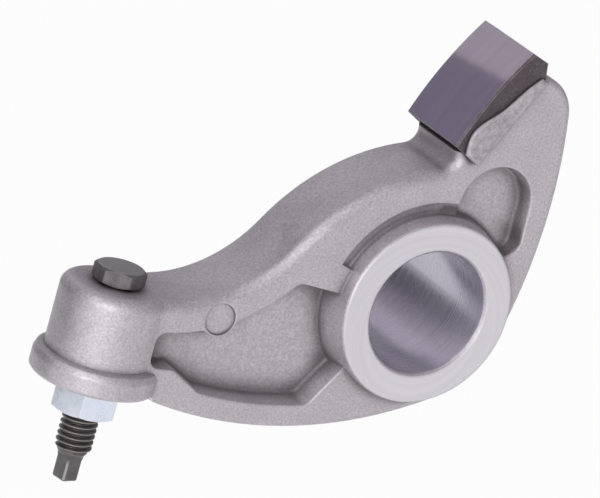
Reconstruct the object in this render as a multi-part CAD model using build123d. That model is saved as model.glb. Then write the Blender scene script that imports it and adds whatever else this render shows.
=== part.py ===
from build123d import *

import os
from math import acos, atan2, cos, degrees, radians, sin, sqrt, tan

# Rocker arm of an overhead-camshaft engine, in millimetres.
# The origin is on the rocker shaft's axis, in the middle plane of the arm.
# X runs from the valve end towards the cam end, Y along the shaft, away from the ring face,
# and Z along the adjusting screw, towards its foot.

# Arm casting
ARM_THICKNESS = 14.4
WEB_THICKNESS = 6.0
POCKET_DRAFT = 7.0
POCKET_FLOOR_BEVEL = 0.3
TOP_EDGE_FILLET = 2.0
RIM_EDGE_FILLET = 1.2

# Hub on the rocker shaft, with its reach beyond the arm's two faces
BORE_DIAMETER = 21.0
BORE_CHAMFER = 0.5
HUB_DIAMETER = 31.0
HUB_FRONT_STEP = 2.2
HUB_BACK_STEP = 11.4
HUB_MIDDLE_STEP = 1.75
HUB_EDGE_CHAMFER = 0.25

# Lower rim and horn, both tangent to the hub's root circle
RIM_RADIUS = 76.7
RIM_END_FROM_SCREW = 8.9
RIM_END_DROP = 1.2
RIM_WIDTH = 3.9
HORN_BULGE = 2.35
HORN_WIDEST_Z = 18.0
HORN_CORNER_DROP = 6.0

# Curve of the arm's upper side, from the boss up to the cam pad
NECK_RUN = 0.4
CROWN_RADIUS = 37.5
CROWN_END_ANGLE = 12.0
UPPER_RIB_DEPTH = 5.0
LEDGE_RADIUS = 2.3
LEDGE_TURN = 100.0
LEDGE_OVERHANG = 0.5
LEDGE_TIP_DEPTH = 2.0
LEDGE_FACE_STEP = 0.6

# Boss of the adjusting screw, with its steps beyond the arm's face and beyond the boss
SCREW_REACH = 52.5
BOSS_STEP = 1.6
BOSS_TOP_Z = -2.3
BOSS_HEIGHT = 16.2
BOSS_NECK_FILLET = 3.0
FLANGE_STEP = 1.5
FLANGE_HEIGHT = 4.3
FLANGE_TOP_ROUND = 1.4
FLANGE_FOOT_BEVEL = 0.4
SEAT_BORDER = 0.5
SEAT_RISE = 0.3

# Cam pad: chord of its running face, measured from the lower end, which is placed from the hub
PAD_FOOT_ANGLE = 95.59
PAD_FOOT_RISE = 10.984
PAD_SLOPE = 59.6
PAD_LENGTH = 19.25
PAD_STEP = 0.75
PAD_THICKNESS = 5.0
PAD_RUNNING_RADIUS = 65.0
PAD_EDGE_CHAMFER = 0.3
PAD_TOP_OVERHANG = 0.45
PAD_TOP_THICKNESS = 3.3
SEAT_LENGTH = 17.6

# Cast lip beside the pad: its wavy edge as shares of the seat's length, with depths
LIP_THICKNESS = 0.7
LIP_FOOT_DROP = 0.6
LIP_EDGE_BEVEL = 0.3
LIP_EDGE = (
    (0, 2.4),
    (0.07, 1.5),
    (0.19, 0.7),
    (0.32, 1.0),
    (0.51, 2.3),
    (0.74, 3.1),
    (0.98, 4.2),
)

# Pockets in the arm's two faces
POCKET_FROM_SCREW = 5.1
POCKET_END_HEIGHT = 6.3
POCKET_END_LENGTH = 4.7
POCKET_END_SLANT = 32.0
POCKET_HUB_ANGLE = 44.0
POCKET_HUB_SLANT = 36.0
POCKET_CORNER = 2.0
BRIDGE_UNDER_Z = 0.7
BRIDGE_SLANT = 9.0
LUG_TURN = 19.5
LUG_DEPTH = 3.8
LUG_RADIUS = 2.9
LUG_BORDER = 0.2
EJECTOR_DEPTH = 0.35
COVE_START_ANGLE = 75.0
COVE_END_ANGLE = 159.5
COVE_WIDTH = 2.8
COVE_DEPTH = 1.1
RECESS_ANGLE = 65.5
RECESS_RISE = 2.95
RECESS_RADIUS = 6.8
RECESS_TAIL_ANGLE = 45.9
RECESS_TAIL_RISE = 0.55
RECESS_TAIL_RADIUS = 3.0
RECESS_DEPTH = 3.0
RECESS_DRAFT = 12.0
RECESS_FLOOR_BEVEL = 0.3

# Adjusting screw and lock nut, a 6 mm thread of 1 mm pitch
SCREW_DIAMETER = 6.0
THREAD_CLEARANCE = 0.05
SCREW_HOLE_CHAMFER = 0.4
FOOT_FLATS = 7.6
FOOT_HEIGHT = 2.7
FOOT_GAP = 0.2
FOOT_TURN = 26.0
HEX_CHAMFER_ANGLE = 30.0
THREAD_BELOW_NUT = 7.4
THREAD_END_TAPER = 1.2
DRIVE_SQUARE = 3.0
DRIVE_CORNER = 0.3
DRIVE_LENGTH = 4.4
DRIVE_TURN = 11.0
NUT_FLATS = 10.0
NUT_HEIGHT = 5.5
NUT_TURN = 56.0
NUT_HOLE_CHAMFER = 0.4

# Values that follow from the sizes above
HALF = ARM_THICKNESS / 2
POCKET_DEPTH = (ARM_THICKNESS - WEB_THICKNESS) / 2
HUB_RADIUS = HUB_DIAMETER / 2
HUB_ROOT_RADIUS = HUB_RADIUS + HUB_MIDDLE_STEP
HUB_FRONT_Y = -HALF - HUB_FRONT_STEP
HUB_BACK_Y = HALF + HUB_BACK_STEP
BOSS_RADIUS = HALF + BOSS_STEP
FLANGE_RADIUS = BOSS_RADIUS + FLANGE_STEP
PAD_HALF_WIDTH = HALF + PAD_STEP
SCREW_X = -SCREW_REACH
BOSS_BOTTOM_Z = BOSS_TOP_Z - BOSS_HEIGHT
BOSS_ROOT_Z = BOSS_BOTTOM_Z + FLANGE_HEIGHT - FLANGE_TOP_ROUND
NUT_BOTTOM_Z = BOSS_BOTTOM_Z - NUT_HEIGHT
THREAD_END_Z = NUT_BOTTOM_Z - THREAD_BELOW_NUT
THREAD_HOLE_RADIUS = SCREW_DIAMETER / 2 + THREAD_CLEARANCE
MATCH = 1e-4


def pad_point(along, depth):
    """A point of the side view, measured along the pad's chord and down into the arm."""
    slope = radians(PAD_SLOPE)
    foot_x, foot_z = beside_hub(PAD_FOOT_ANGLE, PAD_FOOT_RISE)
    x = foot_x + along * cos(slope) + depth * sin(slope)
    z = foot_z + along * sin(slope) - depth * cos(slope)
    return (x, z)


def beside_hub(angle, rise):
    """A point of the side view at an angle round the hub, with its rise above the root circle."""
    turn = radians(angle)
    return ((HUB_ROOT_RADIUS + rise) * cos(turn), (HUB_ROOT_RADIUS + rise) * sin(turn))


def angle_of(centre, point):
    """The angle in degrees at which a circle's centre sees a point."""
    return degrees(atan2(point[1] - centre[1], point[0] - centre[0]))


def rim_end():
    """Lower end of the rim's front edge, beside the flange."""
    return (SCREW_X + RIM_END_FROM_SCREW, BOSS_BOTTOM_Z - RIM_END_DROP)


def rim_centre():
    """Centre of the lower rim's circle, tangent to the hub's root circle and through the rim's end."""
    end_x, end_z = rim_end()
    reach = RIM_RADIUS - HUB_ROOT_RADIUS
    away = sqrt(end_x**2 + end_z**2)
    between = acos((reach**2 + away**2 - RIM_RADIUS**2) / (2 * reach * away))
    turn = atan2(end_z, end_x) - between
    return (reach * cos(turn), reach * sin(turn))


def horn_circle():
    """Centre and radius of the horn's outer side, tangent to the hub's root circle."""
    widest_x = HUB_ROOT_RADIUS + HORN_BULGE
    radius = (widest_x**2 + HORN_WIDEST_Z**2 - HUB_ROOT_RADIUS**2) / (2 * HORN_BULGE)
    return (widest_x - radius, HORN_WIDEST_Z), radius


def neck_end():
    """Distance from the screw's axis to where the neck's fillets meet the arm's faces."""
    return sqrt((BOSS_RADIUS + BOSS_NECK_FILLET) ** 2 - (HALF + BOSS_NECK_FILLET) ** 2)


def upper_curve():
    """Centre, radius and turning angle of the valley, tangent to the boss's top and to the crown."""
    tip = pad_point(-LEDGE_OVERHANG, LEDGE_TIP_DEPTH)
    end = radians(CROWN_END_ANGLE)
    leave = radians(CROWN_END_ANGLE + LEDGE_TURN)
    start_x = SCREW_X + neck_end() + NECK_RUN
    run = tip[0] - LEDGE_RADIUS * (sin(leave) - sin(end)) - start_x + CROWN_RADIUS * sin(end)
    rise = tip[1] - LEDGE_RADIUS * (cos(end) - cos(leave)) - BOSS_TOP_Z + CROWN_RADIUS * (1 - cos(end))
    steepest = 2 * atan2(rise, run)
    radius = run / sin(steepest) - CROWN_RADIUS
    return (start_x, BOSS_TOP_Z + radius), radius, degrees(steepest)


def arm_outline():
    """Side view of the arm: upper S-curve, pad seat, horn, hub root and lower rim."""
    valley_centre, valley_radius, steepest = upper_curve()
    low_centre = rim_centre()
    horn_centre, horn_radius = horn_circle()
    seat_end = pad_point(SEAT_LENGTH, PAD_THICKNESS)
    corner_z = seat_end[1] - HORN_CORNER_DROP
    corner_x = horn_centre[0] + sqrt(horn_radius**2 - (corner_z - horn_centre[1]) ** 2)
    corner_angle = angle_of(horn_centre, (corner_x, corner_z))
    horn_end = angle_of(horn_centre, (0, 0))
    rim_start = angle_of(low_centre, (0, 0))
    rim_stop = -degrees(acos((SCREW_X - low_centre[0]) / RIM_RADIUS))
    with BuildSketch(Plane.XZ) as outline:
        with BuildLine():
            top = Line((SCREW_X, BOSS_TOP_Z), (valley_centre[0], BOSS_TOP_Z))
            valley = JernArc(top @ 1, top % 1, valley_radius, steepest)
            crown = JernArc(valley @ 1, valley % 1, CROWN_RADIUS, CROWN_END_ANGLE - steepest)
            ledge = JernArc(crown @ 1, crown % 1, LEDGE_RADIUS, LEDGE_TURN)
            Polyline(
                ledge @ 1,
                pad_point(0, LEDGE_TIP_DEPTH + LEDGE_FACE_STEP),
                pad_point(0, PAD_THICKNESS),
                seat_end,
            )
            horn = CenterArc(horn_centre, horn_radius, horn_end, corner_angle - horn_end)
            TangentArc(horn @ 1, seat_end, tangent=horn % 1)
            CenterArc((0, 0), HUB_ROOT_RADIUS, rim_start, horn_end - rim_start)
            rim = CenterArc(low_centre, RIM_RADIUS, rim_stop, rim_start - rim_stop)
            Line(rim @ 0, top @ 0)
        make_face()
    return outline.sketch


def boss_body():
    """Screw boss, with the neck that leads from it into the arm."""
    neck_length = neck_end() + BOSS_NECK_FILLET
    with BuildPart() as boss:
        with BuildSketch(Plane.XY.offset(BOSS_ROOT_Z)):
            with Locations((SCREW_X, 0)):
                Circle(BOSS_RADIUS)
                Rectangle(neck_length, ARM_THICKNESS, align=(Align.MIN, Align.CENTER))
            corners = [v for v in vertices() if v.X < SCREW_X + neck_length - MATCH]
            fillet(corners, BOSS_NECK_FILLET)
        extrude(amount=BOSS_TOP_Z - BOSS_ROOT_Z)
    return boss.part


def flange_body():
    """Round flange at the foot of the boss, which the lock nut seats on, its top rounded in two bevels."""
    corner = FLANGE_TOP_ROUND * (1 - sqrt(0.5))
    with BuildPart() as flange:
        with BuildSketch(Plane.XZ):
            Polygon(
                (0, 0),
                (FLANGE_RADIUS - FLANGE_FOOT_BEVEL, 0),
                (FLANGE_RADIUS, FLANGE_FOOT_BEVEL),
                (FLANGE_RADIUS, FLANGE_HEIGHT - FLANGE_TOP_ROUND),
                (FLANGE_RADIUS - corner, FLANGE_HEIGHT - corner),
                (FLANGE_RADIUS - FLANGE_TOP_ROUND, FLANGE_HEIGHT),
                (0, FLANGE_HEIGHT),
                align=None,
            )
        revolve(axis=Axis.Z)
    return Pos(SCREW_X, 0, BOSS_BOTTOM_Z) * flange.part


def seat_cut():
    """Cone turned away under the flange, so that the rim leaves the nut's seat free."""
    top_radius = FLANGE_RADIUS - FLANGE_FOOT_BEVEL - SEAT_BORDER - SEAT_RISE
    depth = SEAT_RISE + RIM_END_DROP + RIM_WIDTH
    cone = Cone(top_radius + depth, top_radius, depth, align=(Align.CENTER, Align.CENTER, Align.MAX))
    return Pos(SCREW_X, 0, BOSS_BOTTOM_Z + SEAT_RISE) * cone


def with_radius(shape, radius):
    """The circular edges of a shape that have the given radius."""
    rounds = shape.edges().filter_by(GeomType.CIRCLE)
    return [edge for edge in rounds if abs(edge.radius - radius) < MATCH]


def hub_body():
    """Hub round the shaft's axis, drafted both ways from the arm's middle plane."""
    with BuildPart() as hub:
        with BuildSketch(Plane.XY):
            Polygon(
                (0, HUB_FRONT_Y),
                (HUB_RADIUS - HUB_EDGE_CHAMFER, HUB_FRONT_Y),
                (HUB_RADIUS, HUB_FRONT_Y + HUB_EDGE_CHAMFER),
                (HUB_ROOT_RADIUS, 0),
                (HUB_RADIUS, HUB_BACK_Y - HUB_EDGE_CHAMFER),
                (HUB_RADIUS - HUB_EDGE_CHAMFER, HUB_BACK_Y),
                (0, HUB_BACK_Y),
                align=None,
            )
        revolve(axis=Axis.Y)
    return hub.part


def shaft_bore():
    """The rocker shaft's bore, with a chamfer at each mouth."""
    radius = BORE_DIAMETER / 2
    mouth = radius + BORE_CHAMFER
    with BuildPart() as bore:
        with BuildSketch(Plane.XY):
            Polygon(
                (0, HUB_FRONT_Y),
                (mouth, HUB_FRONT_Y),
                (radius, HUB_FRONT_Y + BORE_CHAMFER),
                (radius, HUB_BACK_Y - BORE_CHAMFER),
                (mouth, HUB_BACK_Y),
                (0, HUB_BACK_Y),
                align=None,
            )
        revolve(axis=Axis.Y)
    return bore.part


def sunk(outline, depth, draft, floor_bevel):
    """A drafted pocket tool, from just outside the arm's face down to a floor with bevelled edges."""
    mouth = Plane.XZ.offset(HALF) * outline
    tool = extrude(mouth, amount=-depth, taper=draft)
    floor = tool.faces().sort_by(Axis.Y)[-1]
    tool = chamfer(floor.edges(), floor_bevel)
    return tool + extrude(mouth, amount=HALF)


def both_sides(shape):
    """A shape together with its mirror image on the back of the arm."""
    return shape + mirror(shape, Plane.XZ)


def lug_centre():
    """Middle of the ejector lug, under the valley of the arm's upper side."""
    (valley_x, valley_z), radius, _ = upper_curve()
    turn = radians(LUG_TURN)
    return (valley_x + (radius + LUG_DEPTH) * sin(turn), valley_z - (radius + LUG_DEPTH) * cos(turn))


def web_pocket_outline():
    """Pocket between the upper rib, the lower rim, the boss and the hub, round the ejector lug."""
    valley_centre, valley_radius, _ = upper_curve()
    low_centre = rim_centre()
    lowest_z = low_centre[1] - RIM_RADIUS
    left_x = SCREW_X + POCKET_FROM_SCREW
    left_z = BOSS_TOP_Z - UPPER_RIB_DEPTH - POCKET_END_HEIGHT
    end_x = left_x + POCKET_END_LENGTH
    right_x = -HUB_RADIUS * cos(radians(POCKET_HUB_ANGLE))
    right_z = -HUB_RADIUS * sin(radians(POCKET_HUB_ANGLE))
    with BuildSketch() as outline:
        Polygon(
            (left_x, BRIDGE_UNDER_Z + (right_x - left_x) * tan(radians(BRIDGE_SLANT))),
            (left_x, left_z),
            (end_x, left_z),
            (end_x + (left_z - lowest_z) / tan(radians(POCKET_END_SLANT)), lowest_z),
            (right_x - (right_z - lowest_z) * tan(radians(POCKET_HUB_SLANT)), lowest_z),
            (right_x, right_z),
            (right_x, BRIDGE_UNDER_Z),
            align=None,
        )
        with Locations(low_centre):
            Circle(RIM_RADIUS - RIM_WIDTH, mode=Mode.INTERSECT)
        with Locations(valley_centre):
            Circle(valley_radius + UPPER_RIB_DEPTH, mode=Mode.SUBTRACT)
        with Locations(lug_centre()):
            Circle(LUG_RADIUS, mode=Mode.SUBTRACT)
        fillet(outline.vertices(), POCKET_CORNER)
    return outline.sketch


def horn_recess_outline():
    """Round recess in the horn, running down beside the hub."""
    with BuildSketch() as outline:
        with Locations(beside_hub(RECESS_ANGLE, RECESS_RISE)):
            Circle(RECESS_RADIUS)
        with Locations(beside_hub(RECESS_TAIL_ANGLE, RECESS_TAIL_RISE)):
            Circle(RECESS_TAIL_RADIUS)
        make_hull()
    return outline.sketch


def cove_body():
    """Hollow between the upper rib and the hub, turned about the shaft's axis."""
    radius = (COVE_WIDTH**2 + COVE_DEPTH**2) / (2 * COVE_DEPTH)
    with BuildPart() as cove:
        with BuildSketch(Plane.XY):
            with Locations((HUB_RADIUS, -HALF - radius + COVE_DEPTH)):
                Circle(radius)
        revolve(axis=Axis.Y, revolution_arc=COVE_END_ANGLE - COVE_START_ANGLE)
    return Rot(0, -COVE_END_ANGLE, 0) * cove.part


def pad_body():
    """Cam pad: a sintered block with a convex running face."""
    crown = PAD_RUNNING_RADIUS - sqrt(PAD_RUNNING_RADIUS**2 - (PAD_LENGTH / 2) ** 2)
    with BuildPart() as pad:
        with BuildSketch(Plane.XZ):
            with BuildLine():
                ThreePointArc(
                    pad_point(0, 0),
                    pad_point(PAD_LENGTH / 2, -crown),
                    pad_point(PAD_LENGTH, 0),
                )
                Polyline(
                    pad_point(PAD_LENGTH, 0),
                    pad_point(PAD_LENGTH + PAD_TOP_OVERHANG, PAD_TOP_THICKNESS),
                    pad_point(SEAT_LENGTH, PAD_THICKNESS),
                    pad_point(0, PAD_THICKNESS),
                    pad_point(0, 0),
                )
            make_face()
        extrude(amount=PAD_HALF_WIDTH, both=True)
        chamfer(with_radius(pad.part, PAD_RUNNING_RADIUS), PAD_EDGE_CHAMFER)
    return pad.part


def lip_body():
    """Cast lip that laps the pad's side, with the wavy edge that the melt left."""
    with BuildSketch(Plane.XZ.offset(HALF)) as lip:
        with BuildLine():
            edge = Spline([pad_point(share * SEAT_LENGTH, depth) for share, depth in LIP_EDGE])
            Polyline(
                edge @ 1,
                pad_point(SEAT_LENGTH, PAD_THICKNESS + LIP_FOOT_DROP),
                pad_point(0, PAD_THICKNESS + LIP_FOOT_DROP),
                edge @ 0,
            )
        make_face()
    bead = extrude(lip.sketch, amount=PAD_STEP + LIP_THICKNESS)
    return chamfer(bead.faces().sort_by(Axis.Y)[0].edges(), LIP_EDGE_BEVEL)


def screw_hole():
    """Hole through the boss for the adjusting screw."""
    hole = Pos(SCREW_X, 0, BOSS_BOTTOM_Z) * Cylinder(
        THREAD_HOLE_RADIUS, BOSS_HEIGHT, align=(Align.CENTER, Align.CENTER, Align.MIN)
    )
    mouth = Pos(SCREW_X, 0, BOSS_TOP_Z - SCREW_HOLE_CHAMFER) * Cone(
        THREAD_HOLE_RADIUS,
        THREAD_HOLE_RADIUS + SCREW_HOLE_CHAMFER,
        SCREW_HOLE_CHAMFER,
        align=(Align.CENTER, Align.CENTER, Align.MIN),
    )
    return hole + mouth


def ejector_mark():
    """Shallow round print of an ejector pin on the lug."""
    mark = Plane.XZ.offset(HALF) * Pos(*lug_centre()) * Circle(LUG_RADIUS - LUG_BORDER)
    return extrude(mark, amount=-EJECTOR_DEPTH)


def build_arm(pad):
    """Arm casting: blank, rounded edges, hub, pockets, pad seat and machined holes."""
    arm = extrude(arm_outline(), amount=HALF, both=True) + boss_body()
    arm = fillet(with_radius(arm, CROWN_RADIUS), TOP_EDGE_FILLET)
    arm = fillet(with_radius(arm, RIM_RADIUS), RIM_EDGE_FILLET)
    arm = arm - seat_cut() + flange_body()
    pocket = sunk(web_pocket_outline(), POCKET_DEPTH, POCKET_DRAFT, POCKET_FLOOR_BEVEL)
    recess = sunk(horn_recess_outline(), RECESS_DEPTH, RECESS_DRAFT, RECESS_FLOOR_BEVEL)
    arm = arm - both_sides(pocket) - both_sides(recess) - both_sides(cove_body())
    arm = arm + hub_body() + both_sides(lip_body())
    arm = arm - shaft_bore() - pad - screw_hole() - both_sides(ejector_mark())
    return arm


def hex_prism(flats, height, turn, base_z):
    """Hexagonal prism on the screw's axis, with its corners turned off at the top and bottom."""
    circle = flats / 2
    hexagon = RegularPolygon(circle, 6, major_radius=False)
    corner = hexagon.radius
    prism = extrude(Rot(0, 0, turn) * hexagon, amount=height)
    drop = (corner - circle) * tan(radians(HEX_CHAMFER_ANGLE))
    with BuildPart() as turned:
        with BuildSketch(Plane.XZ):
            Polygon(
                (0, 0),
                (circle, 0),
                (corner, drop),
                (corner, height - drop),
                (circle, height),
                (0, height),
                align=None,
            )
        revolve(axis=Axis.Z)
    return Pos(SCREW_X, 0, base_z) * (prism & turned.part)


def build_screw():
    """Adjusting screw: hexagonal foot, plain threaded shank and square drive end."""
    foot_z = BOSS_TOP_Z + FOOT_GAP
    foot = hex_prism(FOOT_FLATS, FOOT_HEIGHT, FOOT_TURN, foot_z)
    radius = SCREW_DIAMETER / 2
    drive_radius = DRIVE_SQUARE / sqrt(2)
    with BuildPart() as shank:
        with BuildSketch(Plane.XZ):
            Polygon(
                (0, foot_z),
                (radius, foot_z),
                (radius, THREAD_END_Z + THREAD_END_TAPER),
                (drive_radius, THREAD_END_Z),
                (0, THREAD_END_Z),
                align=None,
            )
        revolve(axis=Axis.Z)
    square = RectangleRounded(DRIVE_SQUARE, DRIVE_SQUARE, DRIVE_CORNER)
    drive = Pos(0, 0, THREAD_END_Z) * extrude(Rot(0, 0, DRIVE_TURN) * square, amount=-DRIVE_LENGTH)
    return foot + Pos(SCREW_X, 0, 0) * (shank.part + drive)


def build_nut():
    """Lock nut that seats on the flange."""
    nut = hex_prism(NUT_FLATS, NUT_HEIGHT, NUT_TURN, NUT_BOTTOM_Z)
    hole = Pos(SCREW_X, 0, NUT_BOTTOM_Z) * Cylinder(
        THREAD_HOLE_RADIUS, NUT_HEIGHT, align=(Align.CENTER, Align.CENTER, Align.MIN)
    )
    nut = nut - hole
    return chamfer(with_radius(nut, THREAD_HOLE_RADIUS), NUT_HOLE_CHAMFER)


def main():
    os.makedirs("parts", exist_ok=True)
    pad = pad_body()
    pieces = {
        "arm_casting": build_arm(pad),
        "cam_pad": pad,
        "adjusting_screw": build_screw(),
        "lock_nut": build_nut(),
    }
    for name, piece in pieces.items():
        export_step(piece, f"parts/{name}.step")
        print(name, "volume", round(piece.volume, 1))


main()
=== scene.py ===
# %% [markdown]
# # Rocker arm of an overhead-camshaft engine
# A light-alloy arm that swings on a shaft. It has a hard cam pad on its horn and an adjusting screw in its
# boss. The solids come ready-made from CAD. This lesson gives them their finishes, cuts the screw's thread,
# and sets up the studio and the camera.
# The solids are loaded first, because every later piece takes its place from them.

# %% Load the solids
from math import cos, pi, radians, sin, tan

import bmesh
import bpy
from mathutils import Matrix, Vector


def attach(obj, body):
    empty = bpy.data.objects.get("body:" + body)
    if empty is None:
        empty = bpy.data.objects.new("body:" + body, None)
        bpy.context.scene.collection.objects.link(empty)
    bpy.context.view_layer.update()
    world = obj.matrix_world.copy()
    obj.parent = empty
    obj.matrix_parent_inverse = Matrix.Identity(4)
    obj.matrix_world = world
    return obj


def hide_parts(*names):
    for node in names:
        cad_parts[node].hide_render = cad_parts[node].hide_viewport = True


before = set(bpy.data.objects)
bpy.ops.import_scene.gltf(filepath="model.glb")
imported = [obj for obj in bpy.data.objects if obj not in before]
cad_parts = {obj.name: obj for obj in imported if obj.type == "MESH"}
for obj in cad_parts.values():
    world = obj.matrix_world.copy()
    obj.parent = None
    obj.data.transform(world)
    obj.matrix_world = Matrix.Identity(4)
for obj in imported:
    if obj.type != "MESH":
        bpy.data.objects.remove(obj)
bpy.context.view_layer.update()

MM = 0.001
print("solids:", sorted(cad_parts))

# %% [markdown]
# ## Helpers for shader trees
# A material is a tree of nodes, and written out in full it is long.
# One helper places a node, sets its values and links its inputs, and a few short ones stand for the
# sums and mixes that come up again and again. Trees made this way read almost like formulas.

# %% Place, multiply and mix
def put(tree, kind, inputs=None, **settings):
    """Place one node. An input may be a plain value, or the output of another node."""
    node = tree.nodes.new(kind)
    for name, value in settings.items():
        setattr(node, name, value)
    for key, value in (inputs or {}).items():
        if isinstance(value, bpy.types.NodeSocket):
            tree.links.new(value, node.inputs[key])
        else:
            node.inputs[key].default_value = value
    return node


def calc(tree, operation, first, second=0.0):
    """A sum, difference or other operation on two numbers."""
    return put(tree, "ShaderNodeMath", {0: first, 1: second}, operation=operation).outputs[0]


def product(tree, first, *others):
    """Several masks or numbers, multiplied."""
    for other in others:
        first = calc(tree, "MULTIPLY", first, other)
    return first


def most(tree, first, *others):
    """The largest of several masks."""
    for other in others:
        first = calc(tree, "MAXIMUM", first, other)
    return first


def blend_value(tree, factor, low, high):
    """A number between low and high."""
    return put(tree, "ShaderNodeMix", {0: factor, 2: low, 3: high}).outputs[0]


def blend_colour(tree, factor, low, high, how="MIX"):
    """A colour between low and high, or their product."""
    node = put(tree, "ShaderNodeMix", {0: factor, 6: low, 7: high}, data_type="RGBA", blend_type=how)
    return node.outputs[2]


print("helpers: place, multiply and mix")

# %% [markdown]
# ### Places and distances
# Where a finish lies could be painted on each face. Machined faces follow an axis, though, so the coordinates
# of a point tell exactly which face it is on, and nothing has to be unwrapped.
# The piece's own coordinates are used, because they stay with it when a joint moves it.

# %% Measure places on a piece
def soft_step(tree, value, start, end):
    """0 before start, 1 after end, and a smooth rise between them."""
    sockets = {"Value": value, "From Min": start, "From Max": end}
    return put(tree, "ShaderNodeMapRange", sockets, interpolation_type="SMOOTHSTEP").outputs[0]


def band(tree, value, rise, fall):
    """1 between a rise and a fall, and 0 outside them. Each is a start and an end."""
    return product(tree, soft_step(tree, value, *rise), soft_step(tree, value, *fall))


def millimetres(tree):
    """The place on the piece as a vector in millimetres."""
    place = put(tree, "ShaderNodeTexCoord").outputs["Object"]
    return put(tree, "ShaderNodeVectorMath", {0: place, "Scale": 1 / MM}, operation="SCALE").outputs[0]


def coordinates(tree):
    """X, Y and Z on the piece in millimetres."""
    return put(tree, "ShaderNodeSeparateXYZ", {0: millimetres(tree)}).outputs


def distance(tree, across, along):
    """How far a point is from an axis, from its two distances at right angles."""
    squares = calc(tree, "ADD", product(tree, across, across), product(tree, along, along))
    return calc(tree, "SQRT", squares)


def likeness(tree, first, second):
    """How alike two directions are: 1 if they are the same, 0 at right angles."""
    return put(tree, "ShaderNodeVectorMath", {0: first, 1: second}, operation="DOT_PRODUCT").outputs["Value"]


print("helpers: steps, coordinates and distances")

# %% [markdown]
# ### Groups and materials
# An effect that several finishes share is a node group: built once, and placed in each material with its own
# values. Every finish ends in the same way, in a Principled shader with a colour, a roughness and a relief,
# so that ending is a helper too.

# %% Make groups and fill in materials
NUMBER = "NodeSocketFloat"
DIRECTION = "NodeSocketVector"


def group_tree(name, inputs, outputs):
    """A new shader node group with number inputs, and its two end nodes."""
    tree = bpy.data.node_groups.new(name, "ShaderNodeTree")
    for label, value in inputs.items():
        socket = tree.interface.new_socket(label, in_out="INPUT", socket_type=NUMBER)
        socket.default_value = value
    for label, kind in outputs.items():
        tree.interface.new_socket(label, in_out="OUTPUT", socket_type=kind)
    return tree, put(tree, "NodeGroupInput"), put(tree, "NodeGroupOutput")


def use_group(tree, group, **inputs):
    """Place a group in a material, with its own values."""
    named = {label.replace("_", " "): value for label, value in inputs.items()}
    return put(tree, "ShaderNodeGroup", named, node_tree=group).outputs


def new_material(name):
    """A new material, its tree and its Principled shader."""
    material = bpy.data.materials.new(name)
    material.use_nodes = True
    tree = material.node_tree
    return material, tree, tree.nodes["Principled BSDF"]


def fill_in(tree, shader, tone, rough, relief, metallic):
    """Give a Principled shader its colour, roughness and metal, and its relief through a Bump node."""
    bump = put(tree, "ShaderNodeBump", relief)
    tree.links.new(tone, shader.inputs["Base Color"])
    tree.links.new(rough, shader.inputs["Roughness"])
    tree.links.new(bump.outputs[0], shader.inputs["Normal"])
    shader.inputs["Metallic"].default_value = metallic


print("helpers: groups and materials")

# %% [markdown]
# ## Grain
# Metal that isn't polished has a grain: soft mottling on a blasted casting, dark and sharp on a sintered
# block, hardly any on plating. It could be painted on an image, but a noise texture works at every distance
# and needs no unwrapping. The group gives a fine height for the bump, a slow blotch for the tone and a sparse
# speck for the pits.

# %% Node group: grain
PIT_SHARE = 0.45

grain, start, end = group_tree(
    "grain",
    {"Grain size": 0.3, "Blotch size": 4.0},
    {"Height": NUMBER, "Blotch": NUMBER, "Speck": NUMBER},
)
place = millimetres(grain)
fine_scale = calc(grain, "DIVIDE", 1.0, start.outputs["Grain size"])
slow_scale = calc(grain, "DIVIDE", 1.0, start.outputs["Blotch size"])
pit_scale = product(grain, fine_scale, PIT_SHARE)
fine_noise = {"Vector": place, "Scale": fine_scale, "Detail": 4.0, "Roughness": 0.65}
slow_noise = {"Vector": place, "Scale": slow_scale, "Detail": 5.0, "Roughness": 0.6}
fine = put(grain, "ShaderNodeTexNoise", fine_noise).outputs[0]
slow = put(grain, "ShaderNodeTexNoise", slow_noise).outputs[0]
pits = put(grain, "ShaderNodeTexVoronoi", {"Vector": place, "Scale": pit_scale}).outputs["Distance"]
grain.links.new(fine, end.inputs["Height"])
grain.links.new(soft_step(grain, slow, 0.35, 0.65), end.inputs["Blotch"])
grain.links.new(soft_step(grain, pits, 0.22, 0.08), end.inputs["Speck"])
print("group", grain.name, len(grain.nodes), "nodes")

# %% [markdown]
# ## Worn edges and painted highlights
# Edges catch the shot, the packing and the hands first, so they are rounder and brighter than the faces.
# On top of that wear, the finishes paint a highlight on the edges, where a rounded edge catches the light.
# Modelling each tiny rounding would cost many faces. The Bevel node gives the rounded normal instead,
# and where that normal leaves the true one there is an edge.

# %% Node group: worn edges and their painted highlight
edges, start, end = group_tree("worn_and_highlit_edges", {"Rounding": 0.2}, {"Edge": NUMBER, "Normal": DIRECTION})
width = product(edges, start.outputs["Rounding"], MM)
rounded = put(edges, "ShaderNodeBevel", {"Radius": width}, samples=6).outputs[0]
true_normal = put(edges, "ShaderNodeNewGeometry").outputs["Normal"]
edge = soft_step(edges, likeness(edges, rounded, true_normal), 0.995, 0.85)
edges.links.new(edge, end.inputs["Edge"])
edges.links.new(rounded, end.inputs["Normal"])
print("group", edges.name, len(edges.nodes), "nodes")

# %% [markdown]
# ## Hollows
# Light hardly reaches corners, so they lie in shade, and dust and blasting grit stay there too.
# The finishes paint that shade and dust into their colour, so corners look darker and browner.
# Ambient occlusion measures how much of the sky a point can see, and that is just what is needed here.
# Reach is how far it looks for walls, and Full is the share of sky at which a corner counts as fully shaded.

# %% Node group: hollows
OPEN_SKY = 0.95

hollows, start, end = group_tree("hollows", {"Reach": 3.0, "Full": 0.45}, {"Hollow": NUMBER})
reach = product(hollows, start.outputs["Reach"], MM)
sky = put(hollows, "ShaderNodeAmbientOcclusion", {"Distance": reach}, samples=8).outputs["AO"]
hollows.links.new(soft_step(hollows, sky, OPEN_SKY, start.outputs["Full"]), end.inputs["Hollow"])
print("group", hollows.name, len(hollows.nodes), "nodes")
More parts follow.
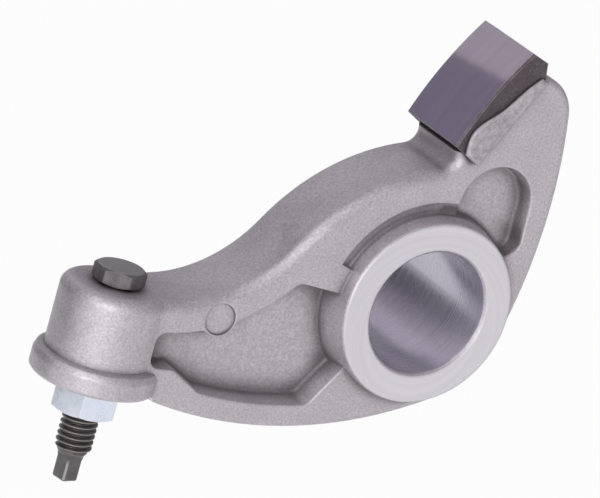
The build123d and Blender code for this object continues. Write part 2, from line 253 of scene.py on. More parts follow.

# %% [markdown]
# ### Open edges
# The Bevel node rounds inner corners as well as outer edges, but only outer edges are rubbed bright and get
# the painted highlight. So the wear and the highlight on an edge are taken back wherever the hollows group
# finds a corner.

# %% Wear and painted highlight on open edges only
def open_edge(tree, lit_worn_edges, corner, share):
    """Wear and painted highlight on an edge: full where it stands out, hardly any down in a corner."""
    free = calc(tree, "SUBTRACT", 1.0, corner["Hollow"])
    return product(tree, lit_worn_edges["Edge"], free, share)


print("helper: wear on open edges")

# %% [markdown]
# ## Tool marks
# Turning, honing and grinding leave fine lines that all run the same way.
# The group takes a distance across the lines and draws them with uneven depth, so each finish only has to say
# which way its tool went: outwards on a turned face, along the axis in a bore.

# %% Node group: tool marks
marks, start, end = group_tree(
    "tool_marks", {"Across": 0.0, "Spacing": 0.15}, {"Ridge": NUMBER, "Streak": NUMBER}
)
turns = calc(marks, "DIVIDE", start.outputs["Across"], start.outputs["Spacing"])
thin_noise = {"W": turns, "Scale": 1.0, "Detail": 2.0}
wide_noise = {"W": turns, "Scale": 0.12, "Detail": 3.0}
thin = put(marks, "ShaderNodeTexNoise", thin_noise, noise_dimensions="1D").outputs[0]
wide = put(marks, "ShaderNodeTexNoise", wide_noise, noise_dimensions="1D").outputs[0]
marks.links.new(thin, end.inputs["Ridge"])
marks.links.new(soft_step(marks, wide, 0.3, 0.7), end.inputs["Streak"])
print("group", marks.name, len(marks.nodes), "nodes")

# %% [markdown]
# ## Arm casting: where each finish lies
# The arm is one piece of cast alloy with three finishes: blasted skin, turned faces and a honed bore.
# Each could be a material of its own on its own faces. Here one material tells them apart by where they lie,
# because the tools that cut them followed an axis, and so does the sum: a distance from the bore's axis finds
# the bore, a height along it the turned hub faces, and a height along the screw the seat of the nut.
# The wavy lips that grip the pad stand proud of the arm's sides, high on the horn.

# %% Casting: masks
BORE_RADIUS = 10.5
HUB_RADIUS = 15.5
HUB_FRONT = -9.4
HUB_BACK = 18.6
FLANGE_FOOT = -18.5
FLANGE_RADIUS = 10.3
SCREW_X = -52.5
ARM_FACE = 7.2
LIP_FROM_Z = 20.0
EDGE_BAND = 0.06

casting, tree, shader = new_material("casting")
x, y, z = coordinates(tree)
radius = distance(tree, x, z)
screw_radius = distance(tree, calc(tree, "SUBTRACT", x, SCREW_X), y)
from_middle = calc(tree, "ABSOLUTE", y)
front = soft_step(tree, y, HUB_FRONT + 2 * EDGE_BAND, HUB_FRONT + EDGE_BAND)
back = soft_step(tree, y, HUB_BACK - 2 * EDGE_BAND, HUB_BACK - EDGE_BAND)
on_hub = soft_step(tree, radius, HUB_RADIUS + EDGE_BAND, HUB_RADIUS)
foot = soft_step(tree, z, FLANGE_FOOT + 2 * EDGE_BAND, FLANGE_FOOT + EDGE_BAND)
seat = product(tree, foot, soft_step(tree, screw_radius, FLANGE_RADIUS + EDGE_BAND, FLANGE_RADIUS))
turned = most(tree, product(tree, most(tree, front, back), on_hub), seat)
bore = soft_step(tree, radius, BORE_RADIUS + 2 * EDGE_BAND, BORE_RADIUS + EDGE_BAND)
on_horn = soft_step(tree, z, LIP_FROM_Z - 1, LIP_FROM_Z)
lip = product(tree, soft_step(tree, from_middle, ARM_FACE + 0.2, ARM_FACE + 0.4), on_horn)
print("casting: masks for the turned faces, the bore and the lips,", len(tree.nodes), "nodes")

# %% [markdown]
# ## Arm casting: dust and painted shade
# Dust and painted shade darken the pockets, the recess in the horn and every tight corner.
# It could be painted by hand. Here the hollows group is used twice: once looking far, for the broad shade
# in the pockets, and once looking only a little way, for thin lines of shade in corners. There is less of it
# in the shallow cove above the hub. The walls of the recess, and the small bevels at the foot of all these
# walls, lie too open for that. Their depth below the arm's face is known, so their painted shade is laid on
# by depth.

# %% Casting: dust and painted shade
# Depths below the arm's face at which a mask rises, and at which it falls again
LOW_DEPTHS = (2.3, 2.7), (5.0, 4.5)
RECESS_WALL_DEPTHS = (0.1, 0.7), (2.98, 2.92)
RECESS_FOOT_DEPTHS = (2.45, 2.7), (2.995, 2.985)
POCKET_FOOT_DEPTHS = (3.6, 3.9), (4.195, 4.185)
RECESS_X, RECESS_Z = 9.0, 12.0
RECESS_REACH = 12.0, 11.0
POCKET_END = -8.0, -10.0
BOSS_REACH = 9.0, 10.5

deep = use_group(tree, hollows, Reach=5.0)
tight = use_group(tree, hollows, Reach=1.4, Full=0.70)
depth = calc(tree, "SUBTRACT", ARM_FACE, from_middle)
off_boss = soft_step(tree, screw_radius, *BOSS_REACH)
to_recess = distance(tree, calc(tree, "SUBTRACT", x, RECESS_X), calc(tree, "SUBTRACT", z, RECESS_Z))
in_recess = soft_step(tree, to_recess, *RECESS_REACH)

hub_top = product(tree, soft_step(tree, radius, HUB_RADIUS + 4, HUB_RADIUS + 2), soft_step(tree, z, 2.0, 5.0))
# The broad shade and the thin corner lines darken where light hardly reaches: painted shade, with some dust
broad_shade = product(tree, deep["Hollow"], blend_value(tree, hub_top, 0.85, 0.25))
low = most(tree, product(tree, band(tree, depth, *LOW_DEPTHS), off_boss), on_horn)
corners = product(tree, tight["Hollow"], blend_value(tree, low, 0.6, 0.75))
sunk = soft_step(tree, deep["Hollow"], 0.02, 0.15)
# Painted shade on the walls of the recess and at the foot of the walls, laid on by depth
recess_wall_shade = product(tree, band(tree, depth, *RECESS_WALL_DEPTHS), in_recess, sunk, 0.75)
pocket_foot_shade = product(tree, band(tree, depth, *POCKET_FOOT_DEPTHS), soft_step(tree, x, *POCKET_END), off_boss)
recess_foot_shade = product(tree, band(tree, depth, *RECESS_FOOT_DEPTHS), in_recess)
sheltered = soft_step(tree, most(tree, deep["Hollow"], tight["Hollow"]), 0.0, 0.02)
wall_foot_shade = product(tree, most(tree, pocket_foot_shade, recess_foot_shade), sheltered, 0.82)
dust_and_shade = most(tree, broad_shade, corners, recess_wall_shade, wall_foot_shade)
print("casting: dust by hollow and by depth,", len(tree.nodes), "nodes")

# %% [markdown]
# ## Arm casting: colours
# Blasted alloy is light grey, mottled and pitted. Cut alloy is lighter on the turned faces, and bluish in the
# bore, where it is smooth enough to show its surroundings. One colour for each would look flat, so each is a
# mix of two. They are laid over each other: skin, lips, worn edges with their painted highlight, and dust
# with painted shade first, and then what the tools cut, which stays clean.

# %% Casting: colours
CAST_SKIN = (0.535, 0.50, 0.535, 1), (0.59, 0.555, 0.59, 1)
CAST_PITS = (0.33, 0.30, 0.31, 1)
GRAIN_CONTRAST, GRAIN_BASE = 1.1, 0.45
LIP_METAL = (0.32, 0.30, 0.325, 1), (0.56, 0.54, 0.57, 1)
WORN_ALLOY_AND_HIGHLIGHT = (0.76, 0.74, 0.77, 1)
CAST_DUST_AND_SHADE = (0.13, 0.11, 0.12, 1)
TURNED_ALLOY = (0.705, 0.68, 0.72, 1), (0.765, 0.74, 0.78, 1)
HONED_ALLOY = (0.57, 0.54, 0.63, 1), (0.61, 0.58, 0.67, 1)
OFF_CENTRE = 0.25

skin = use_group(tree, grain, Grain_size=0.40, Blotch_size=5.0)
melt = use_group(tree, grain, Grain_size=0.9, Blotch_size=3.0)
lit_worn_edges = use_group(tree, edges, Rounding=0.7)
hone = use_group(tree, marks, Across=y, Spacing=0.12)
lathe_path = calc(tree, "ADD", radius, product(tree, z, OFF_CENTRE))
lathe = use_group(tree, marks, Across=lathe_path, Spacing=0.16)

tone = blend_colour(tree, skin["Blotch"], *CAST_SKIN)
tone = blend_colour(tree, product(tree, skin["Speck"], 0.35), tone, CAST_PITS)
mottle_sum = {0: skin["Height"], 1: GRAIN_CONTRAST, 2: GRAIN_BASE}
mottle = put(tree, "ShaderNodeMath", mottle_sum, operation="MULTIPLY_ADD").outputs[0]
tone = blend_colour(tree, 1.0, tone, mottle, how="MULTIPLY")
lip_tone = blend_colour(tree, soft_step(tree, melt["Height"], 0.3, 0.7), *LIP_METAL)
tone = blend_colour(tree, product(tree, lip, 0.8), tone, lip_tone)
# Worn edges, brightened further by a painted highlight
tone = blend_colour(tree, open_edge(tree, lit_worn_edges, tight, 0.5), tone, WORN_ALLOY_AND_HIGHLIGHT)
# Dust and painted shade darken the skin
tone = blend_colour(tree, dust_and_shade, tone, CAST_DUST_AND_SHADE)
tone = blend_colour(tree, turned, tone, blend_colour(tree, lathe["Streak"], *TURNED_ALLOY))
tone = blend_colour(tree, bore, tone, blend_colour(tree, hone["Streak"], *HONED_ALLOY))
print("casting: colours,", len(tree.nodes), "nodes")

# %% [markdown]
# ## Arm casting: roughness and relief
# The skin scatters light, the turned faces a little less, and the bore is nearly smooth.
# The relief is far below a tenth of a millimetre, too fine for the mesh, so a Bump node tilts the normals:
# grain on the skin, coarser lumps on the lips, and the ridges of the tools on what they cut.

# %% Casting: roughness, relief and shader
SKIN_ROUGH = 0.46, 0.56
TURNED_ROUGH = 0.42, 0.48
BORE_ROUGH = 0.25, 0.29
LIP_LUMPS = 4.0
LATHE_RIDGE, HONE_RIDGE = 0.05, 0.02

rough = blend_value(tree, skin["Blotch"], *SKIN_ROUGH)
rough = blend_value(tree, turned, rough, blend_value(tree, lathe["Streak"], *TURNED_ROUGH))
rough = blend_value(tree, bore, rough, blend_value(tree, hone["Streak"], *BORE_ROUGH))

cast_height = blend_value(tree, lip, skin["Height"], product(tree, melt["Height"], LIP_LUMPS))
ridge = blend_value(tree, bore, lathe["Ridge"], hone["Ridge"])
cut_height = product(tree, ridge, blend_value(tree, bore, LATHE_RIDGE, HONE_RIDGE))
height = blend_value(tree, most(tree, turned, bore), cast_height, cut_height)
relief = {"Strength": 0.55, "Distance": 0.05 * MM, "Height": height, "Normal": lit_worn_edges["Normal"]}
fill_in(tree, shader, tone, rough, relief, metallic=0.65)
print("material", casting.name, len(tree.nodes), "nodes")

# %% [markdown]
# ## Cam pad
# The cam rubs on a hard block that is cast into the horn. Its running face is ground smooth and dark,
# and its sides keep the rough skin of the sintered block. Two materials on two sets of faces would do too.
# The face is found by its direction instead: it is the one that looks up and away from the hub.

# %% Material: cam pad
PAD_SLOPE = 59.6
RUNNING_NORMAL = (-sin(radians(PAD_SLOPE)), 0.0, cos(radians(PAD_SLOPE)))
PAD_SKIN = (0.065, 0.055, 0.06, 1), (0.22, 0.185, 0.20, 1)
PAD_SPECKS = (0.36, 0.31, 0.32, 1)
PAD_DUST_AND_SHADE = (0.05, 0.04, 0.045, 1)
PAD_GROUND = (0.66, 0.61, 0.72, 1), (0.70, 0.65, 0.75, 1)
PAD_EDGE_AND_HIGHLIGHT = (0.62, 0.60, 0.62, 1)
PAD_SIDE_ROUGH, PAD_FACE_ROUGH = (0.55, 0.7), 0.06
GRIND_RIDGE = 0.004

pad_finish, tree, shader = new_material("cam_pad_finish")
object_normal = put(tree, "ShaderNodeTexCoord").outputs["Normal"]
ground = soft_step(tree, likeness(tree, object_normal, RUNNING_NORMAL), 0.93, 0.96)
skin = use_group(tree, grain, Grain_size=0.35, Blotch_size=3.0)
lit_worn_edges = use_group(tree, edges, Rounding=0.15)
deep = use_group(tree, hollows, Reach=2.0)
grind = use_group(tree, marks, Across=coordinates(tree)["Y"], Spacing=0.2)

tone = blend_colour(tree, skin["Height"], *PAD_SKIN)
tone = blend_colour(tree, product(tree, skin["Speck"], 0.5), tone, PAD_SPECKS)
# Dust and painted shade where the pad's hollows see little sky
tone = blend_colour(tree, product(tree, deep["Hollow"], 0.6), tone, PAD_DUST_AND_SHADE)
tone = blend_colour(tree, ground, tone, blend_colour(tree, grind["Streak"], *PAD_GROUND))
# Worn edges with a painted highlight
tone = blend_colour(tree, open_edge(tree, lit_worn_edges, deep, 0.7), tone, PAD_EDGE_AND_HIGHLIGHT)
rough = blend_value(tree, ground, blend_value(tree, skin["Blotch"], *PAD_SIDE_ROUGH), PAD_FACE_ROUGH)
height = blend_value(tree, ground, skin["Height"], product(tree, grind["Ridge"], GRIND_RIDGE))
relief = {"Strength": 0.6, "Distance": 0.06 * MM, "Height": height, "Normal": lit_worn_edges["Normal"]}
fill_in(tree, shader, tone, rough, relief, metallic=0.9)
print("material", pad_finish.name, len(tree.nodes), "nodes")

# %% [markdown]
# ## Lock nut
# The nut is plated with bright zinc, which looks almost white and a little blue.
# A plain bluish metal would look like plastic. Plating follows the steel below it, so faint tool lines show
# on the flats, it is cloudy, and its corners are polished by the spanner and given a painted highlight.
# Its hollows get dust and painted shade.

# %% Material: zinc plate
ZINC = (0.72, 0.775, 0.88, 1), (0.82, 0.865, 0.96, 1)
ZINC_DUST_AND_SHADE = (0.34, 0.36, 0.40, 1)
ZINC_EDGE_AND_HIGHLIGHT = (0.93, 0.95, 0.97, 1)
ZINC_ROUGH = 0.26, 0.34

zinc, tree, shader = new_material("zinc_plate")
skin = use_group(tree, grain, Grain_size=0.5, Blotch_size=2.0)
lit_worn_edges = use_group(tree, edges, Rounding=0.2)
deep = use_group(tree, hollows, Reach=1.5)
lines = use_group(tree, marks, Across=coordinates(tree)["Z"], Spacing=0.2)

tone = blend_colour(tree, skin["Blotch"], *ZINC)
# Dust and painted shade in the hollows
tone = blend_colour(tree, product(tree, deep["Hollow"], 0.6), tone, ZINC_DUST_AND_SHADE)
# Polished corners with a painted highlight
tone = blend_colour(tree, open_edge(tree, lit_worn_edges, deep, 0.6), tone, ZINC_EDGE_AND_HIGHLIGHT)
rough = blend_value(tree, skin["Blotch"], *ZINC_ROUGH)
height = blend_value(tree, 0.5, skin["Height"], lines["Ridge"])
relief = {"Strength": 0.12, "Distance": 0.03 * MM, "Height": height, "Normal": lit_worn_edges["Normal"]}
fill_in(tree, shader, tone, rough, relief, metallic=0.85)
print("material", zinc.name, len(tree.nodes), "nodes")

# %% [markdown]
# ## Adjusting screw: finish
# The screw is blackened steel. Its oxide is rubbed off on the crests of the thread, a bright line is painted
# on the corners of the drive square as a highlight, and the end face of its foot is ground to plain grey.
# These places could be picked face by face. Distances from the screw's axis find the crests and corners,
# and heights along it find the foot and the drive, so the finish fits any number of turns.

# %% Material: black oxide, masks
SCREW_RADIUS = 3.0
FOOT_TOP = 0.6
FOOT_BASE = -2.1
DRIVE_TOP = -31.4
CREST_REACH = SCREW_RADIUS - 0.16, SCREW_RADIUS - 0.02
CORNER_REACH = 1.88, 1.95

oxide, tree, shader = new_material("black_oxide")
x, y, z = coordinates(tree)
radius = distance(tree, calc(tree, "SUBTRACT", x, SCREW_X), y)
foot = soft_step(tree, z, FOOT_BASE - 0.2, FOOT_BASE - 0.1)
foot_end = soft_step(tree, z, FOOT_TOP - 0.15, FOOT_TOP - 0.05)
drive = soft_step(tree, z, DRIVE_TOP + 0.6, DRIVE_TOP - 0.4)
on_thread = calc(tree, "SUBTRACT", 1.0, most(tree, foot, drive))
crest = product(tree, soft_step(tree, radius, *CREST_REACH), on_thread)
along_drive = soft_step(tree, z, DRIVE_TOP - 0.5, DRIVE_TOP - 1.6)
# Where the painted highlight lies: along the corners of the drive square
corner = product(tree, soft_step(tree, radius, *CORNER_REACH), along_drive)
print("screw: masks for the foot, the thread and the drive,", len(tree.nodes), "nodes")

# %% [markdown]
# ### Oxide colours
# Oxide is nearly black, and the steel below it is grey. The roots of the thread stay darkest, so the dust
# and painted shade of the hollows go on after the bright crests, and the worn edges with their painted
# highlight go on last.

# %% Material: black oxide
OXIDE = (0.115, 0.104, 0.106, 1), (0.18, 0.163, 0.166, 1)
FOOT_STEEL = (0.12, 0.11, 0.115, 1), (0.18, 0.165, 0.175, 1)
GROUND_STEEL = (0.31, 0.30, 0.31, 1), (0.37, 0.36, 0.37, 1)
DRIVE_STEEL = (0.105, 0.096, 0.10, 1), (0.155, 0.142, 0.146, 1)
BARE_CREST = (0.31, 0.275, 0.25, 1)
DRIVE_CORNER_HIGHLIGHT = (0.50, 0.48, 0.49, 1)
THREAD_DUST_AND_SHADE = (0.02, 0.018, 0.017, 1)
OXIDE_EDGE_AND_HIGHLIGHT = (0.46, 0.43, 0.44, 1)
OXIDE_ROUGH = 0.34, 0.48

skin = use_group(tree, grain, Grain_size=0.3, Blotch_size=1.6)
lit_worn_edges = use_group(tree, edges, Rounding=0.14)
deep = use_group(tree, hollows, Reach=1.0)
lathe = use_group(tree, marks, Across=radius, Spacing=0.15)

steel = blend_colour(tree, skin["Blotch"], *FOOT_STEEL)
steel = blend_colour(tree, foot_end, steel, blend_colour(tree, skin["Blotch"], *GROUND_STEEL))
tone = blend_colour(tree, foot, blend_colour(tree, skin["Blotch"], *OXIDE), steel)
tone = blend_colour(tree, drive, tone, blend_colour(tree, skin["Blotch"], *DRIVE_STEEL))
tone = blend_colour(tree, product(tree, crest, 0.7), tone, BARE_CREST)
# A painted highlight along the corners of the drive square
tone = blend_colour(tree, product(tree, corner, 0.7), tone, DRIVE_CORNER_HIGHLIGHT)
# Dust and painted shade in the roots of the thread and the corners
tone = blend_colour(tree, product(tree, deep["Hollow"], 0.7), tone, THREAD_DUST_AND_SHADE)
# Worn edges with a painted highlight
tone = blend_colour(tree, open_edge(tree, lit_worn_edges, deep, 0.5), tone, OXIDE_EDGE_AND_HIGHLIGHT)
rough = blend_value(tree, skin["Blotch"], *OXIDE_ROUGH)
height = blend_value(tree, 0.3, skin["Height"], lathe["Ridge"])
relief = {"Strength": 0.3, "Distance": 0.03 * MM, "Height": height, "Normal": lit_worn_edges["Normal"]}
fill_in(tree, shader, tone, rough, relief, metallic=0.5)
print("material", oxide.name, len(tree.nodes), "nodes")

# %% [markdown]
# ## Finishes onto the solids
# The casting, the pad and the nut keep their CAD shapes, so only their material slots change.
# The screw gets its finish below, together with its thread.

# %% Assign the finishes
for name, material in {"arm_casting": casting, "cam_pad": pad_finish, "lock_nut": zinc}.items():
    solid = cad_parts[name]
    solid.data.materials.clear()
    solid.data.materials.append(material)
    print(name, "gets", material.name)

# %% [markdown]
# ## Adjusting screw: shape
# In CAD the shank is a plain cylinder, and the thread is left to this script.
# A Screw modifier could wind a profile into a helix, but its ends stay open and its foot would be a second
# mesh. Instead, rows of points follow the helix: each row climbs by one pitch as it goes round, and its end
# meets the start of the row one pitch further on. Rows that run past an end are flattened onto that end,
# so the thread fades out there as if cut by a die, and the same columns of points run on into the hexagonal
# foot and the square drive. The whole screw is one closed skin.

# %% Rings of points round the screw's axis
COLUMNS = 96
COLUMN_START = 26.0
ANGLES = [radians(COLUMN_START + 360 * k / COLUMNS) for k in range(COLUMNS)]


def screw_point(reach, angle, height):
    """A point from its distance from the screw's axis, its angle and its height, in millimetres."""
    return Vector((SCREW_X + reach * cos(angle), reach * sin(angle), height)) * MM


def ring(reach, height):
    """One closed row of points. Reach and height are numbers, or functions of the angle."""
    reaches = [reach(a) if callable(reach) else reach for a in ANGLES]
    heights = [height(a) if callable(height) else height for a in ANGLES]
    return [screw_point(r, a, h) for r, a, h in zip(reaches, ANGLES, heights)]


def skin_rows(mesh, rows):
    """Faces between each row and the next."""
    verts = [[mesh.verts.new(point) for point in row] for row in rows]
    for low, high in zip(verts, verts[1:]):
        for k in range(COLUMNS):
            n = (k + 1) % COLUMNS
            mesh.faces.new((low[k], low[n], high[n], high[k]))


print("columns round the screw:", COLUMNS)

# %% [markdown]
# ### Thread profile
# A metric thread has flanks at 60 degrees, a flat crest and a rounded root. Six points per pitch are enough
# for that. The taper at the end is a cone that the thread may not pass.

# %% Points of the thread
PITCH = 1.0
THREAD_DEPTH = 0.58
THREAD_TOP = FOOT_BASE
THREAD_END = DRIVE_TOP
END_TAPER = 1.2
DRIVE_RADIUS = 2.12
NECK_RADIUS = SCREW_RADIUS - THREAD_DEPTH
PROFILE = ((0.0, 1.0), (0.16, 1.0), (0.44, 0.1), (0.52, 0.0), (0.62, 0.0), (0.70, 0.1))
TURNS_BELOW = 1.5
SPARE_TURNS = 3


def taper_limit(height):
    """Largest radius at a height: the shank, then the cone at its end."""
    share = min(1.0, max(0.0, (height - THREAD_END) / END_TAPER))
    return DRIVE_RADIUS + (SCREW_RADIUS - DRIVE_RADIUS) * share


def thread_point(turn, along, full, column):
    """A point of the helix, flattened onto an end of the shank where it runs past it."""
    height = THREAD_END + (turn - TURNS_BELOW + along + column / COLUMNS) * PITCH
    reach = min(NECK_RADIUS + THREAD_DEPTH * full, taper_limit(height))
    if height >= THREAD_TOP:
        height, reach = THREAD_TOP, NECK_RADIUS
    if height <= THREAD_END:
        height, reach = THREAD_END, DRIVE_RADIUS
    return screw_point(reach, ANGLES[column], height)


print("thread depth", THREAD_DEPTH, "mm, pitch", PITCH, "mm")

# %% [markdown]
# ### Thread skin
# Between two rows the faces run like those of a tube. Only the seam differs: there a row's last point is
# joined to the first point of the row one pitch higher, and that makes the rows one helix.

# %% Faces of the thread
def skin_thread(mesh):
    """Helical rows of the shank, from below its end to above its top, and the faces between them."""
    turns = int((THREAD_TOP - THREAD_END) / PITCH) + SPARE_TURNS
    grid = [
        [mesh.verts.new(thread_point(turn, along, full, k)) for k in range(COLUMNS)]
        for turn in range(turns)
        for along, full in PROFILE
    ]
    step = len(PROFILE)
    for row in range(len(grid) - 1):
        low, high = grid[row], grid[row + 1]
        for k in range(COLUMNS - 1):
            mesh.faces.new((low[k], low[k + 1], high[k + 1], high[k]))
        if row + step + 1 < len(grid):
            mesh.faces.new((low[-1], grid[row + step][0], grid[row + step + 1][0], high[-1]))
    print("thread:", turns, "turns of", step, "rows")


screw_skin = bmesh.new()
skin_thread(screw_skin)

# %% [markdown]
# ### Foot and drive
# The hexagonal foot has its corners turned off by a cone, so its top shows a round edge. The drive is a
# square with blunt corners that grows out of the round end in a short shoulder. Both could be cut from
# cylinders with Boolean modifiers, but rings with the thread's own columns of points join it without a seam.

# %% Rows of the foot and the drive
FOOT_FLATS = 7.6
FOOT_TURN = 26.0
FOOT_CIRCLE = FOOT_FLATS / 2
FOOT_BLUNT = 0.05
CHAMFER = tan(radians(30))
BASE_RIM, BASE_LIFT = 0.15, 0.05
TOP_DROP, TOP_RIM, TOP_ROUND, TOP_FLAT = 0.12, 0.12, 0.04, 0.5
DRIVE_SQUARE = 3.0
DRIVE_TURN = 11.0
DRIVE_BLUNT = 0.16
DRIVE_END = -35.8
SHOULDER_WIDTH, SHOULDER_START, SHOULDER_END = 0.12, 0.35, 0.9
END_HEIGHT, END_RIM = 0.25, 0.2


def polygon_reach(angle, sides, flats, turn, blunt):
    """Distance from the axis to a regular polygon whose corners are cut back."""
    share = 2 * pi / sides
    offset = (angle - radians(turn) + share / 2) % share - share / 2
    corner = flats / 2 / cos(share / 2)
    return min(flats / 2 / cos(offset), corner - blunt)


def hexagon(angle):
    """Reach of the foot's hexagon, whose corners lie at its turn."""
    return polygon_reach(angle, 6, FOOT_FLATS, FOOT_TURN + 30, FOOT_BLUNT)


def cone(angle):
    """How much height the turned cone takes off at the hexagon's edge."""
    return (hexagon(angle) - FOOT_CIRCLE) * CHAMFER


def square(angle):
    """Reach of the drive square."""
    return polygon_reach(angle, 4, DRIVE_SQUARE, DRIVE_TURN, DRIVE_BLUNT)


foot_rows = [
    ring(NECK_RADIUS, FOOT_BASE),
    ring(FOOT_CIRCLE - BASE_RIM, FOOT_BASE),
    ring(hexagon, lambda a: FOOT_BASE + BASE_LIFT + cone(a)),
    ring(hexagon, lambda a: FOOT_TOP - TOP_DROP - cone(a)),
    ring(FOOT_CIRCLE - TOP_RIM, FOOT_TOP - TOP_ROUND),
    ring(FOOT_CIRCLE - TOP_FLAT, FOOT_TOP),
    ring(0.0, FOOT_TOP),
]
drive_rows = [
    ring(DRIVE_RADIUS, THREAD_END),
    ring(lambda a: min(DRIVE_RADIUS, square(a) + SHOULDER_WIDTH), THREAD_END - SHOULDER_START),
    ring(square, THREAD_END - SHOULDER_END),
    ring(square, DRIVE_END + END_HEIGHT),
    ring(lambda a: square(a) - END_RIM, DRIVE_END),
    ring(0.0, DRIVE_END),
]
skin_rows(screw_skin, foot_rows)
skin_rows(screw_skin, drive_rows)
print("rows: foot", len(foot_rows), "and drive", len(drive_rows))

# %% [markdown]
# ### The finished screw
# Points that fall on each other are merged, which turns the flattened rows into clean end rings and closes
# the skin. The new mesh takes the place of the plain CAD screw, and moves with the same body.

# %% Merge the skin and place the screw
MERGE = 1e-7
SHARP_ANGLE = 35

bmesh.ops.remove_doubles(screw_skin, verts=screw_skin.verts, dist=MERGE)
bmesh.ops.dissolve_degenerate(screw_skin, dist=MERGE, edges=screw_skin.edges)
bmesh.ops.recalc_face_normals(screw_skin, faces=screw_skin.faces)
screw_mesh = bpy.data.meshes.new("threaded_screw")
screw_skin.to_mesh(screw_mesh)
open_edges = sum(1 for edge in screw_skin.edges if len(edge.link_faces) != 2)
screw_skin.free()
screw_mesh.materials.append(oxide)
screw = bpy.data.objects.new("threaded_screw", screw_mesh)
bpy.context.scene.collection.objects.link(screw)
screw_mesh.shade_smooth()
screw_mesh.set_sharp_from_angle(angle=radians(SHARP_ANGLE))
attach(screw, "screw")
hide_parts("adjusting_screw")
print("screw:", len(screw_mesh.polygons), "faces,", open_edges, "open edges")

# %% [markdown]
# ## Studio: floor
# The arm is shown on white, over a floor that keeps a faint shadow.
# More light would bleach the floor, but it would bleach the metal too. Instead the floor is pale matt paint
# that glows white only for the camera, in reflections and through glass. It is clear from below, so that the
# arm can be looked at from there.

# %% Floor
FLOOR_Z = -37.0
FLOOR_SIZE = 8.0
FLOOR_GLOW = 0.96


def stage_plane(name, size, place, turn, material):
    """A flat staged card or floor."""
    half_x, half_y = size[0] / 2, size[1] / 2
    corners = [(-half_x, -half_y, 0), (half_x, -half_y, 0), (half_x, half_y, 0), (-half_x, half_y, 0)]
    card = bpy.data.meshes.new(name)
    card.from_pydata(corners, [], [(0, 1, 2, 3)])
    card.materials.append(material)
    plane = bpy.data.objects.new(name, card)
    plane.location = place
    plane.rotation_euler = [radians(t) for t in turn]
    bpy.context.scene.collection.objects.link(plane)
    return plane


def empty_tree(holder):
    """The node tree of a material or a world, with nothing in it."""
    holder.use_nodes = True
    holder.node_tree.nodes.clear()
    return holder.node_tree


def shown(tree):
    """1 where a ray shows the thing itself: to the camera, in a reflection or through glass."""
    path = put(tree, "ShaderNodeLightPath").outputs
    return most(tree, path["Is Camera Ray"], path["Is Glossy Ray"], path["Is Transmission Ray"])


floor_paint = bpy.data.materials.new("floor_paint")
tree = empty_tree(floor_paint)
matt = put(tree, "ShaderNodeBsdfDiffuse", {"Color": (0.85, 0.85, 0.85, 1)}).outputs[0]
white = put(tree, "ShaderNodeEmission", {"Color": (1, 1, 1, 1), "Strength": 1.0}).outputs[0]
clear = put(tree, "ShaderNodeBsdfTransparent").outputs[0]
glow = product(tree, shown(tree), FLOOR_GLOW)
paint = put(tree, "ShaderNodeMixShader", {0: glow, 1: matt, 2: white}).outputs[0]
behind = put(tree, "ShaderNodeNewGeometry").outputs["Backfacing"]
surface = put(tree, "ShaderNodeMixShader", {0: behind, 1: paint, 2: clear}).outputs[0]
put(tree, "ShaderNodeOutputMaterial", {"Surface": surface})
stage_plane("floor", (FLOOR_SIZE, FLOOR_SIZE), (0, 0, FLOOR_Z * MM), (0, 0, 0), floor_paint)
print("floor at", FLOOR_Z, "mm")

# %% [markdown]
# ## Studio: cards
# Metal shows what is around it, so a photographer sets cards round it, and they matter as much as the lamps.
# The dark card at the back left gives the lower half of the pad its slate tone, and the upright edge beside
# it draws the line across the pad. The small flag close to the boss makes its left side dark.
# An image of a studio could light the scene as well, but cards can be moved one by one.
# They are hidden from the camera and cast no shadow.

# %% Cards
# A card lies level, or stands upright with its width along X or along Y
LEVEL = (0, 0, 0)
ALONG_X = (90, 0, 0)
ALONG_Y = (90, 0, 90)
CARDS = {
    "back_left": ((0.725, 1.5), (-0.9375, 1.0, 0.7), ALONG_X, (0.165, 0.15, 0.195)),
    "back_middle": ((0.275, 1.5), (-0.4375, 1.0, 0.7), ALONG_X, (0.40, 0.36, 0.38)),
    "back": ((0.60, 1.5), (0.0, 1.0, 0.7), ALONG_X, (0.66, 0.64, 0.69)),
    "back_right": ((1.0, 1.5), (0.80, 1.0, 0.7), ALONG_X, (0.32, 0.305, 0.335)),
    "ceiling": ((2.6, 2.4), (0, -0.2, 1.4), LEVEL, (0.36, 0.35, 0.36)),
    "left_back": ((0.8, 1.5), (-1.3, 0.6, 0.7), ALONG_Y, (0.13, 0.125, 0.14)),
    "left_front": ((1.6, 1.5), (-1.3, -0.6, 0.7), ALONG_Y, (0.68, 0.66, 0.69)),
    "right": ((2.4, 1.5), (1.3, -0.2, 0.7), ALONG_Y, (0.36, 0.35, 0.37)),
    "front": ((2.6, 1.5), (0, -1.4, 0.7), ALONG_X, (0.58, 0.56, 0.59)),
    "left_flag": ((0.30, 0.087), (-0.10, 0.15, 0.0065), ALONG_Y, (0.07, 0.065, 0.08)),
}


def card_paint(name, colour):
    """Plain glowing paint for a card, in one colour."""
    material = bpy.data.materials.new(name)
    tree = empty_tree(material)
    glow = put(tree, "ShaderNodeEmission", {"Color": (*colour, 1), "Strength": 1.0}).outputs[0]
    put(tree, "ShaderNodeOutputMaterial", {"Surface": glow})
    return material


for name, (size, place, turn, colour) in CARDS.items():
    card = stage_plane(name, size, place, turn, card_paint(name + "_paint", colour))
    card.visible_camera = False
    card.visible_shadow = False
print("cards:", ", ".join(CARDS))

# %% [markdown]
# ## Studio: world
# The world is the room beyond the cards. It gives a weak even light from all sides, and like the floor it is
# white where it is seen directly.

# %% World
ROOM_LIGHT = 0.45

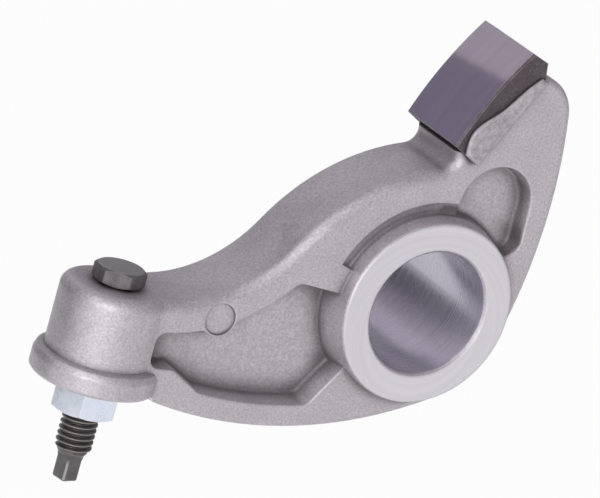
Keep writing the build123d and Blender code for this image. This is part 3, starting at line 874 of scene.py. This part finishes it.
world = bpy.data.worlds.new("studio")
bpy.context.scene.world = world
tree = empty_tree(world)
room = put(tree, "ShaderNodeBackground", {"Color": (0.95, 0.94, 0.97, 1), "Strength": ROOM_LIGHT}).outputs[0]
backdrop = put(tree, "ShaderNodeBackground", {"Color": (1, 1, 1, 1), "Strength": 1.0}).outputs[0]
surround = put(tree, "ShaderNodeMixShader", {0: shown(tree), 1: room, 2: backdrop}).outputs[0]
put(tree, "ShaderNodeOutputWorld", {"Surface": surround})
print("world", world.name, "at strength", ROOM_LIGHT)

# %% [markdown]
# ## Lamps
# A broad key stands low in the front left, so that faces turned to the camera are light and the upper side
# is not. A second lamp, high on the left, draws the bright line along every rounded upper edge.
# Sun or point lamps would give hard edges, so both are square area lamps.

# %% Area lamps
LAMP_AIM = Vector((-0.02, 0, 0))


def soft_lamp(name, place, size, power):
    """A square area lamp that looks at the arm."""
    data = bpy.data.lights.new(name, "AREA")
    data.size = size
    data.energy = power
    lamp = bpy.data.objects.new(name, data)
    lamp.location = place
    lamp.rotation_euler = (LAMP_AIM - Vector(place)).to_track_quat("-Z", "Y").to_euler()
    bpy.context.scene.collection.objects.link(lamp)


soft_lamp("key", (-0.59, -0.67, 0.04), 0.50, 4.7)
soft_lamp("overhead", (-0.55, -0.25, 0.70), 0.4, 1.1)

# %% [markdown]
# ## Camera
# The camera was worked out from the round edges of the hub and from the screw: it stands far away, looks down
# a little from the front left, and is rolled so that the arm lies across the picture.
# A Track To constraint could aim it, but it leaves no roll, so its three axes are set directly.

# %% Camera
AZIMUTH, ELEVATION, ROLL = radians(-34.17), radians(16.53), radians(15.69)
CAMERA_PLACE = Vector((-0.53528, -0.75777, 0.27765))
PICTURE_WIDTH = 600
FOCAL_PIXELS = 6000
SENSOR = 36.0

backward = Vector((sin(AZIMUTH) * cos(ELEVATION), -cos(AZIMUTH) * cos(ELEVATION), sin(ELEVATION)))
level = Vector((cos(AZIMUTH), sin(AZIMUTH), 0))
upright = backward.cross(level)
right = level * cos(ROLL) + upright * sin(ROLL)
up = upright * cos(ROLL) - level * sin(ROLL)
lens = bpy.data.cameras.new("camera")
lens.sensor_width = SENSOR
lens.lens = FOCAL_PIXELS * SENSOR / PICTURE_WIDTH
lens.clip_start, lens.clip_end = 0.05, 20
camera = bpy.data.objects.new("camera", lens)
axes = Matrix((right, up, backward)).transposed()
camera.matrix_world = Matrix.Translation(CAMERA_PLACE) @ axes.to_4x4()
bpy.context.scene.collection.objects.link(camera)
bpy.context.scene.camera = camera
bpy.context.scene.view_settings.view_transform = "Standard"
print("lens", lens.lens, "mm")
